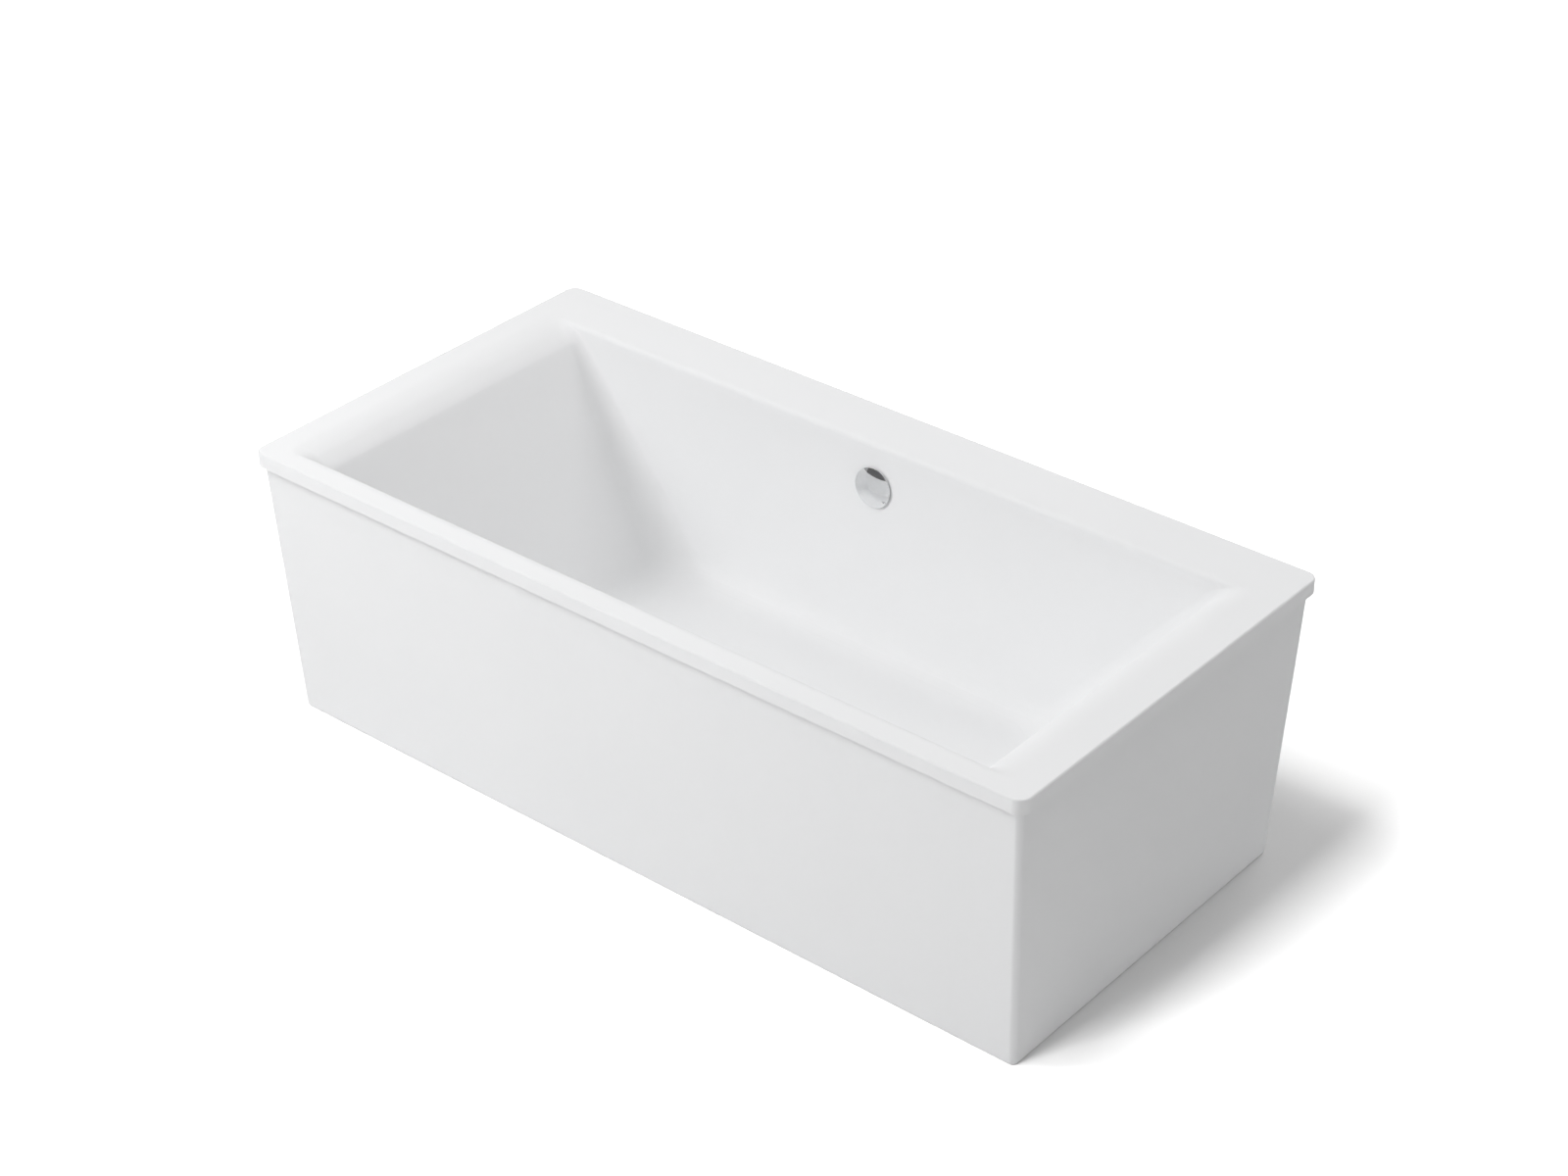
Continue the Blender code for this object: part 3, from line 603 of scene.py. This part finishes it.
def skirt():
    """One-piece apron with a softened foot and an inward return."""
    edge = 0.0030
    inner = SKIRT_CORNER - SKIRT_WALL
    top = SKIRT_HEIGHT
    rings = [skirt_ring(0.0006, top, SKIRT_CORNER - 0.0006), skirt_ring(0, top - 0.0006, SKIRT_CORNER)]
    rings += [skirt_ring(0, top * (1 - i / 12) + edge * i / 12, SKIRT_CORNER) for i in range(1, 12)]
    for i in range(6):
        angle = math.radians(90 * i / 5)
        inset = edge * (1 - math.cos(angle))
        rings.append(skirt_ring(inset, edge * (1 - math.sin(angle)), SKIRT_CORNER - inset))
    lip, corner = 0.0008, 0.006
    rings.append(skirt_ring(SKIRT_RETURN - lip, 0, corner + lip))
    rings.append(skirt_ring(SKIRT_RETURN, lip, corner))
    rings.append(skirt_ring(SKIRT_RETURN, SKIRT_WALL - lip, corner))
    rings.append(skirt_ring(SKIRT_RETURN - lip, SKIRT_WALL, corner + lip))
    rings.append(skirt_ring(SKIRT_WALL + 0.003, SKIRT_WALL, inner - 0.003))
    rings.append(skirt_ring(SKIRT_WALL, SKIRT_WALL + 0.003, inner))
    rings += [skirt_ring(SKIRT_WALL, SKIRT_WALL + 0.003 + (top - SKIRT_WALL - 0.0036) * i / 8, inner)
              for i in range(1, 9)]
    rings.append(skirt_ring(SKIRT_WALL - 0.0006, top, inner + 0.0006))
    return piece("bath_skirt", skin(rings, True), [SKIRT], "bath", ["skirt"], weighted=True)


# ---------------------------------------------------------------- overflow and waste

def knob():
    """Polished, crowned disc of the overflow with a hollow back."""
    front, back, plate, radius, dome = 0.0135, 0.0026, 0.0025, 0.0415, 0.100

    def crown(out, below=0.0):
        return front - dome + math.sqrt((dome - below) ** 2 - out ** 2)

    cavity = [(out, crown(out, plate)) for out in (0.0060, 0.0150, 0.0240, 0.0320, 0.0380)]
    face = [(radius * step / 40, crown(radius * step / 40)) for step in range(40, -1, -1)]
    profile = [(0, cavity[0][1])] + cavity + [(0.0380, back), (radius, back)] + face
    work = lathe(soften(profile, 0.0004, 4), 160)
    return piece("overflow_knob", work, [CHROME], "knob", ["knob_disc"], OVERFLOW, weighted=True)


def flange():
    """Waste flange with its four-armed grid."""
    profile = [(0.0212, 0.1275), (0.0240, 0.1275), (0.0240, 0.1443), (0.0355, 0.1443), (0.0355, 0.1464),
               (0.0345, 0.1474), (0.0310, 0.1474), (0.0225, 0.1452), (0.0212, 0.1440)]
    tools = [loose_object("hub", lathe([(0, 0.1290), (0.0060, 0.1290), (0.0060, 0.1340), (0, 0.1340)], 48))]
    for turn in (45, 135):
        bar = bmesh.new()
        size = Matrix.Diagonal((0.0452, 0.0030, 0.0035, 1))
        place = Matrix.Rotation(math.radians(turn), 4, "Z") @ Matrix.Translation((0, 0, 0.13125)) @ size
        bmesh.ops.create_cube(bar, size=1, matrix=place)
        tools.append(loose_object("bar", bar))
    work = boolean(lathe(soften(profile, 0.0004, 3), 96), tools, "UNION")
    bore = loose_object("bore", lathe([(0, 0.12), (0.0031, 0.12), (0.0031, 0.15), (0, 0.15)], 32))
    work = boolean(work, [bore], "DIFFERENCE")
    return piece("drain_flange", work, [CHROME], "bath", ["waste_flange"], WASTE, weighted=True)


def plug():
    """Crowned pop-up cap."""
    profile = [(0, 0.1425), (0.0115, 0.1425), (0.0115, 0.1480), (0.0320, 0.1480), (0.0325, 0.1486),
               (0.0322, 0.1500), (0.0300, 0.1512), (0.0200, 0.1522), (0.0100, 0.1526), (0, 0.1527)]
    work = lathe(soften(profile, 0.0006, 4), 120)
    return piece("plug_cover", work, [CHROME], "plug", ["plug_cap"], WASTE, weighted=True)


def smooth_path(points, pieces):
    """Catmull-Rom line through the points."""
    path = []
    padded = [points[0]] + points + [points[-1]]
    for i in range(len(points) - 1):
        a, b, c, d = padded[i:i + 4]
        for j in range(pieces):
            t = j / pieces
            path.append(0.5 * ((2 * b) + (c - a) * t + (2 * a - 5 * b + 4 * c - d) * t * t
                               + (3 * b - a - 3 * c + d) * t ** 3))
    path.append(points[-1])
    return path


def evenly(path, step):
    """Points of a line at an even distance."""
    result = [path[0]]
    carried = 0.0
    for a, b in zip(path, path[1:]):
        length = (b - a).length
        place = step - carried
        while place <= length:
            result.append(a + (b - a) * place / length)
            place += step
        carried = (carried + length) % step if length + carried >= step else carried + length
    if (result[-1] - path[-1]).length > step * 0.3:
        result.append(path[-1])
    return result


def sweep(path, radius_at, sides):
    """Bmesh tube along a line with a radius for each point, closed at both ends."""
    rings = []
    normal = Vector((1, 0, 0))
    for i, point in enumerate(path):
        ahead = (path[min(i + 1, len(path) - 1)] - path[max(i - 1, 0)]).normalized()
        normal = (normal - ahead * normal.dot(ahead)).normalized()
        side = ahead.cross(normal)
        radius = radius_at(i)
        rings.append([point + (normal * math.cos(a) + side * math.sin(a)) * radius
                      for a in (2 * math.pi * k / sides for k in range(sides))])
    work = skin(rings, False)
    work.verts.ensure_lookup_table()
    count = len(work.verts)
    work.faces.new([work.verts[k] for k in range(sides)])
    work.faces.new([work.verts[count - sides + k] for k in range(sides)])
    return work


def lines():
    """Ribbed overflow hose and the smooth cable sheath, on the routes of their CAD solids."""
    nozzle_z, inlet_z, nipple_x, nipple_z = -0.0290, 0.0715, 0.0215, -0.0330
    hose = [OVERFLOW @ Vector((0, y, nozzle_z)) for y in (-0.046, -0.062, -0.078)]
    hose += [Vector(p) for p in ((0, 0.345, 0.36), (0, 0.340, 0.22), (0, 0.315, 0.135), (0, 0.255, 0.085),
                                 (0, 0.180, inlet_z), (0, 0.080, inlet_z), (0, BASIN_Y + 0.048, inlet_z))]
    hose = evenly(smooth_path(hose, 12), 0.0009)
    cuff = 22

    def rib(i):
        """Plain cuffs at the ends and round ribs between them."""
        if i < cuff or i > len(hose) - 1 - cuff:
            return 0.0119
        return 0.0111 + 0.0009 * math.cos((i - cuff) * math.pi / 2.5)

    ribbed = piece("ribbed_hose", sweep(hose, rib, 28), [GREY_PLASTIC], "bath",
                   ["overflow_hose"], sharp=60)
    cable = [OVERFLOW @ Vector((nipple_x, y, nipple_z)) for y in (-0.0405, -0.053, -0.066)]
    cable += [Vector(p) for p in (
        (0.023, 0.374, 0.42), (0.024, 0.374, 0.34), (0.027, 0.372, 0.26), (0.030, 0.364, 0.18),
        (0.034, 0.335, 0.115), (0.036, 0.290, 0.086), (0.037, 0.235, 0.078), (0.037, 0.180, 0.077),
        (0.037, 0.125, 0.079), (0.037, 0.070, 0.084), (0.037, 0.025, 0.091), (0.037, 0.000, 0.0945),
        (0.037, BASIN_Y + 0.0153, 0.095))]
    cable = evenly(smooth_path(cable, 10), 0.0035)

    def sheath(i):
        """Crimped end sleeves a little thicker than the sheath."""
        return 0.0028 if i < 5 or i > len(cable) - 6 else 0.0025

    sheathed = piece("cable_sheath", sweep(cable, sheath, 16), [SHEATH], "bath",
                     ["bowden_cable"], sharp=50)
    return (ribbed, hose), (sheathed, cable)


def outlet_nut():
    """Hand-tightened nut with grip ribs on the outlet spigot."""
    profile = [(0.0186, 0.078), (0.0235, 0.078), (0.0245, 0.081), (0.0245, 0.096), (0.0186, 0.096)]
    dense = soften(profile, 0.0008, 3)

    def ribs(angle, r, z):
        """Twenty shallow flutes round the outside."""
        if r < 0.0225:
            return 1
        return 1 - 0.022 * (0.5 + 0.5 * math.cos(20 * angle)) ** 2

    matrix = Matrix.Translation((0, BASIN_Y, 0.0315)) @ LEVEL_X
    return piece("ribbed_outlet_nut", lathe(dense, 200, ribs), [GREY_PLASTIC], "bath",
                 ["outlet_nut"], matrix, sharp=40)


# ---------------------------------------------------------------- feet

def thread(radius, core, pitch, low, high, sides):
    """Threaded bar with plain chamfered ends, as one closed skin."""
    turns = (high - low) / pitch
    count = int(turns * 8)
    rings = []
    for i in range(count + 1):
        z = low + (high - low) * i / count
        fade = min(1.0, (z - low) / pitch, (high - z) / pitch)
        ring = []
        for k in range(sides):
            angle = 2 * math.pi * k / sides
            phase = (z / pitch - k / sides) % 1.0
            crest = abs(2 * phase - 1)
            depth = (radius - core) * min(1.0, max(0.0, crest * 1.35 - 0.15))
            r = (radius - depth) * (0.86 + 0.14 * fade)
            ring.append((r * math.cos(angle), r * math.sin(angle), z))
        rings.append(ring)
    work = skin(rings, False)
    work.verts.ensure_lookup_table()
    total = len(work.verts)
    work.faces.new([work.verts[k] for k in range(sides)])
    work.faces.new([work.verts[total - sides + k] for k in range(sides)])
    return work


def nut_mesh(low, height, flats, bore):
    """Hexagon nut with both ends turned down to a chamfer."""
    corner = flats / math.sqrt(3)
    work = lathe([(bore, low), (corner, low), (corner, low + height), (bore, low + height)], 6)
    top = low + height
    cut = (corner - flats / 2) * 1.1
    drop = cut * math.tan(math.radians(30))
    turned = [(0, low), (corner - cut, low), (corner + 0.001, low + drop + 0.0005),
              (corner + 0.001, top - drop - 0.0005), (corner - cut, top), (0, top)]
    work = boolean(work, [loose_object("turned", lathe(turned, 96))], "INTERSECT")
    drill = [(0, low - 0.01), (bore, low - 0.01), (bore, top + 0.01), (0, top + 0.01)]
    return boolean(work, [loose_object("bore", lathe(drill, 48))], "DIFFERENCE")


def feet():
    """Ribbed pads, threaded rods and chamfered nuts of the four levelling feet."""
    pad = [(0, 0.0012), (0.006, 0.0012), (0.006, 0), (0.011, 0), (0.011, 0.0012), (0.015, 0.0012),
           (0.015, 0), (0.019, 0), (0.019, 0.0012), (0.0225, 0.0012), (0.0225, 0), (0.026, 0),
           (0.026, 0.004), (0.022, 0.009), (0.011, 0.009), (0.010, 0.020), (0.0063, 0.020),
           (0.0063, 0.008), (0, 0.008)]
    for side_y in ("front", "back"):
        for side_x in ("left", "right"):
            name = f"foot_{side_y}_{side_x}"
            low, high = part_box(name + "_rod")
            centre = (low + high) / 2
            spot = Matrix.Translation((centre.x, centre.y, 0))
            piece(f"pad_{side_y}_{side_x}", lathe(soften(pad, 0.0005, 3), 72), [NYLON], name,
                  [name + "_pad"], spot)
            rod = thread(ROD_RADIUS, ROD_CORE, ROD_PITCH, low.z, high.z, 24)
            piece(f"threaded_rod_{side_y}_{side_x}", rod, [PLATED], name, [name + "_rod"],
                  spot, sharp=50)
            for kind in ("lock_nut", "top_nut"):
                node = f"{name}_{kind}"
                z_low, z_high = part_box(node)[0].z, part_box(node)[1].z
                nut = nut_mesh(z_low, z_high - z_low, NUT_FLATS, NUT_BORE)
                piece(f"{kind}_{side_y}_{side_x}", nut, [PLATED], "bath", [node], spot,
                      sharp=25)


# ---------------------------------------------------------------- carried-over CAD nodes

def dress(node, material, bevel=0.0):
    """Give a CAD node its finish and, where it has sawn or pressed edges, a small bevel."""
    obj = NODES[node]
    obj.data.materials.clear()
    obj.data.materials.append(material)
    if bevel:
        obj.modifiers.new("weld", "WELD").merge_threshold = 0.00001
        round_edges = obj.modifiers.new("edges", "BEVEL")
        round_edges.width = bevel
        round_edges.segments = 2
        round_edges.limit_method = "ANGLE"
        round_edges.angle_limit = math.radians(40)


def carried_over():
    """Finishes of every CAD node that is shown as it is."""
    for name in ("batten_front", "batten_back"):
        dress(name, PINE_X, 0.0008)
    for name in ("batten_left", "batten_right"):
        dress(name, PINE_Y, 0.0008)
    dress("base_board", CHIPS, 0.0005)
    for name in ("rail_front", "rail_back", "cross_bar_left", "cross_bar_right"):
        dress(name, ZINC)
    for side_y in ("front", "back"):
        for side_x in ("left", "right"):
            dress(f"bracket_{side_y}_{side_x}", ZINC)
            dress(f"bracket_screw_{side_y}_{side_x}", PLATED)
    for name in ("overflow_front_gasket", "overflow_rear_gasket", "waste_upper_gasket", "waste_lower_gasket",
                 "plug_seal"):
        dress(name, RUBBER)
    for name in ("overflow_housing", "waste_body", "trap"):
        dress(name, WHITE_PLASTIC)
    for name in ("overflow_bush", "cable_drum", "lift_lever"):
        dress(name, GREY_PLASTIC)
    for name in ("knob_spindle", "plug_stem"):
        dress(name, BRASS)


# ---------------------------------------------------------------- stage, light and camera

def stage_piece(name, work, matrix, material):
    """Object of the stage from a bmesh."""
    mesh = bpy.data.meshes.new(name)
    work.to_mesh(mesh)
    work.free()
    mesh.materials.append(material)
    obj = bpy.data.objects.new(name, mesh)
    obj.matrix_world = matrix
    bpy.context.scene.collection.objects.link(obj)
    return obj


def stage_plane(name, size, matrix, material):
    """Flat sheet of the stage."""
    work = bmesh.new()
    bmesh.ops.create_grid(work, x_segments=1, y_segments=1, size=size)
    return stage_piece(name, work, matrix, material)


def stage():
    """Floor in two sheets, white backdrop and dark card.

    The camera sees one floor sheet; light and reflections bounce off the other. The backdrop is seen by
    the camera only, and the dark card only by reflections.
    """
    seen = Finish("studio_floor", specular_ior_level=0.0, emission_color=(1, 1, 1, 1))
    seen.colour(seen.mix(seen.noise(0.6, 1.0), (0.70, 0.70, 0.70), (0.72, 0.72, 0.72)))
    seen.shader.inputs["Roughness"].default_value = 0.9
    away = seen.node("ShaderNodeVectorMath", {0: seen.coords}, operation="LENGTH").outputs["Value"]
    glow = seen.spread(away, 0.0, 1.0, GLOW_FROM, GLOW_FULL)
    seen.tree.links.new(glow, seen.shader.inputs["Emission Strength"])
    shown = stage_plane("floor", SHEET_HALF, Matrix.Translation((0, 0, -0.001)), seen.material)
    shown.visible_diffuse = False
    shown.visible_glossy = False
    shown.visible_shadow = False
    bounce = Finish("bounce_floor", specular_ior_level=0.0)
    bounce.colour(bounce.mix(bounce.noise(0.6, 1.0), (0.86, 0.86, 0.86), (0.88, 0.88, 0.88)))
    bounce.shader.inputs["Roughness"].default_value = 0.9
    under = stage_plane("bounce", SHEET_HALF, Matrix.Translation((0, 0, -0.002)), bounce.material)
    under.visible_camera = False
    white = Finish("backdrop", base_color=(0, 0, 0, 1), specular_ior_level=0.0,
                   emission_color=(1, 1, 1, 1), emission_strength=1.0)
    work = bmesh.new()
    bmesh.ops.create_cone(work, cap_ends=False, segments=64, radius1=BACKDROP_RADIUS,
                          radius2=BACKDROP_RADIUS, depth=BACKDROP_DEPTH)
    centre = Matrix.Translation((0, 0, BACKDROP_DEPTH / 2 - 0.1))
    around = stage_piece("backdrop", work, centre, white.material)
    around.visible_diffuse = False
    around.visible_glossy = False
    around.visible_shadow = False
    dark = Finish("dark_card", base_color=(0.18, 0.18, 0.18, 1), specular_ior_level=0.0)
    upright = Matrix.Rotation(math.radians(90), 4, "X") @ Matrix.Diagonal((CARD_WIDEN, 1.0, 1.0, 1.0))
    card = stage_plane("dark_card", CARD_HALF, Matrix.Translation(CARD_SPOT) @ upright, dark.material)
    card.visible_camera = False
    card.visible_diffuse = False
    card.visible_shadow = False
    return shown


def lamp(name, around, above, size, energy, only=None):
    """Square soft light aimed at the bath, at an angle round from the front and one above the floor.

    With a collection given, it lights only what is in that collection.
    """
    light = bpy.data.lights.new(name, "AREA")
    light.size = size
    light.energy = energy
    turn, rise = math.radians(around), math.radians(above)
    away = Vector((math.sin(turn) * math.cos(rise), -math.cos(turn) * math.cos(rise), math.sin(rise)))
    obj = bpy.data.objects.new(name, light)
    obj.location = Vector(LAMP_AIM) + away * LAMP_DISTANCE
    obj.rotation_euler = (-away).to_track_quat("-Z", "Y").to_euler()
    bpy.context.scene.collection.objects.link(obj)
    if only is not None:
        obj.light_linking.receiver_collection = only
    return obj


def lights(floor):
    """Soft key from the front left, weak fill all round, and three lamps for the seen floor alone."""
    lamp("key_sheen", -45, 40, 2.0, 30)
    lamp("key", -45, 40, 2.0, 100).visible_glossy = False
    lamp("front", 10, 60, 2.0, 10)
    lamp("right", 20, 30, 3.0, 20)
    lamp("left", -90, 40, 2.0, 10)
    lamp("back_high", 160, 60, 2.0, 50)
    lamp("back_low", 165, 35, 3.0, 25)
    seen = bpy.data.collections.new("seen_floor")
    seen.objects.link(floor)
    lamp("floor_front", 0, 45, 1.2, 200, seen)
    lamp("floor_left", -60, 75, 1.2, 100, seen)
    lamp("floor_top", 0, 75, 1.2, 200, seen)
    world = bpy.data.worlds.new("surround")
    bpy.context.scene.world = world
    world.use_nodes = True
    surround = world.node_tree.nodes["Background"]
    surround.inputs["Color"].default_value = (1.0, 1.0, 1.0, 1)
    surround.inputs["Strength"].default_value = 0.35


def camera():
    """Camera at the photograph's viewing angle."""
    lens = bpy.data.cameras.new("camera")
    lens.sensor_width = 36.0
    lens.lens = FOCAL_LENGTH
    obj = bpy.data.objects.new("camera", lens)
    obj.location = CAMERA_SPOT
    obj.rotation_euler = (math.radians(90 - CAMERA_DOWN), 0, math.radians(CAMERA_AROUND))
    bpy.context.scene.collection.objects.link(obj)
    bpy.context.scene.camera = obj


camera()
shell()
skirt()
knob()
flange()
plug()
hose_line, cable_line = lines()
outlet_nut()
feet()
carried_over()
shown_floor = stage()
lights(shown_floor)
bpy.context.scene.view_settings.view_transform = "Standard"
